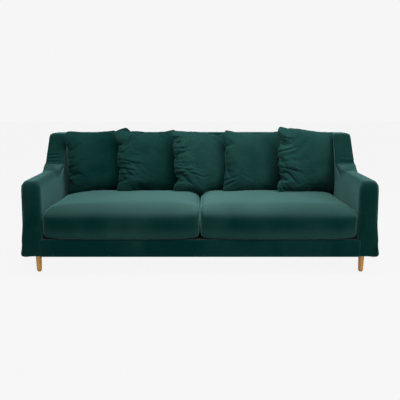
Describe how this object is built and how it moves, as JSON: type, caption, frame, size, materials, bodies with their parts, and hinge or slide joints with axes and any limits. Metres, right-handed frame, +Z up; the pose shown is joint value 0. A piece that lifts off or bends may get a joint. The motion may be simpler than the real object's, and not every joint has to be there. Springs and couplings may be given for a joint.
{
  "type": "three-seater sofa",
  "caption": "Upholstered sofa with sloping wing arms, loose crowned seat cushions, overlapping scatter back cushions and turned tapered wooden legs.",
  "frame": {"origin": "on the floor, under the middle of the sofa's width and depth", "axes": "+Z up; the front of the seat faces -Y; +X runs along the sofa to the right of someone who looks at its front"},
  "size_m": [2.23, 0.9491, 0.8976],
  "materials": {
    "velvet": "deep green cut velvet over foam and fibre wadding",
    "oiled_oak": "turned oak, clear oil",
    "frame_timber": "planed softwood",
    "plywood": "unfinished birch plywood",
    "webbing": "woven elastic webbing",
    "platform_felt": "needled felt deck",
    "dust_cloth": "spun non-woven cloth",
    "foam": "open-cell cushion foam",
    "feather_pad": "feather pad in cotton ticking",
    "zinc_steel": "zinc-plated",
    "glide_felt": "pressed felt-faced glide"
  },
  "bodies": {
    "frame": {"arm_bolts": "zinc_steel", "back_post_1": "frame_timber", "back_post_2": "frame_timber", "back_post_3": "frame_timber", "back_post_4": "frame_timber", "back_post_screws": "zinc_steel", "back_top_rail": "frame_timber", "back_tuck_rail": "frame_timber", "back_webbing": "webbing", "dust_cover": "dust_cloth", "front_border": "velvet", "front_left_leg": "oiled_oak", "front_rail": "frame_timber", "front_right_leg": "oiled_oak", "inner_back_pad": "velvet", "left_arm_front_post": "frame_timber", "left_arm_inner_panel": "plywood", "left_arm_outer_panel": "plywood", "left_arm_rear_post": "frame_timber", "left_arm_sill": "frame_timber", "left_arm_upholstery": "velvet", "left_cross_bearer": "frame_timber", "left_end_rail": "frame_timber", "leg_bolts": "zinc_steel", "leg_corner_blocks": "frame_timber", "leg_glides": "glide_felt", "leg_tee_nuts": "zinc_steel", "outer_back_pad": "velvet", "rear_left_leg": "oiled_oak", "rear_rail": "frame_timber", "rear_right_leg": "oiled_oak", "right_arm_front_post": "frame_timber", "right_arm_inner_panel": "plywood", "right_arm_outer_panel": "plywood", "right_arm_rear_post": "frame_timber", "right_arm_sill": "frame_timber", "right_arm_upholstery": "velvet", "right_cross_bearer": "frame_timber", "right_end_rail": "frame_timber", "seat_cross_webbing": "webbing", "seat_platform": "platform_felt", "seat_webbing": "webbing"},
    "left_seat_cushion": {"left_seat_cover": "velvet", "left_seat_core": "foam"},
    "right_seat_cushion": {"right_seat_cover": "velvet", "right_seat_core": "foam"},
    "back_cushion_1": {"back_cushion_1_cover": "velvet", "back_cushion_1_pad": "feather_pad"},
    "back_cushion_2": {"back_cushion_2_cover": "velvet", "back_cushion_2_pad": "feather_pad"},
    "back_cushion_3": {"back_cushion_3_cover": "velvet", "back_cushion_3_pad": "feather_pad"},
    "back_cushion_4": {"back_cushion_4_cover": "velvet", "back_cushion_4_pad": "feather_pad"},
    "back_cushion_5": {"back_cushion_5_cover": "velvet", "back_cushion_5_pad": "feather_pad"}
  },
  "joints": [
    {"name": "left_seat_lift_off", "type": "slide", "parent": "frame", "child": "left_seat_cushion", "axis": [0, -1, 0], "range_m": [0, 0.7]},
    {"name": "right_seat_lift_off", "type": "slide", "parent": "frame", "child": "right_seat_cushion", "axis": [0, -1, 0], "range_m": [0, 0.7]},
    {"name": "back_cushion_1_lift_off", "type": "slide", "parent": "frame", "child": "back_cushion_1", "axis": [0, 0.225, 0.9744], "range_m": [0, 0.5]},
    {"name": "back_cushion_2_lift_off", "type": "slide", "parent": "frame", "child": "back_cushion_2", "axis": [0, 0.225, 0.9744], "range_m": [0, 0.5]},
    {"name": "back_cushion_3_lift_off", "type": "slide", "parent": "frame", "child": "back_cushion_3", "axis": [0, 0.225, 0.9744], "range_m": [0, 0.5]},
    {"name": "back_cushion_4_lift_off", "type": "slide", "parent": "frame", "child": "back_cushion_4", "axis": [0, 0.225, 0.9744], "range_m": [0, 0.5]},
    {"name": "back_cushion_5_lift_off", "type": "slide", "parent": "frame", "child": "back_cushion_5", "axis": [0, 0.1564, 0.9877], "range_m": [0, 0.5]}
  ]
}
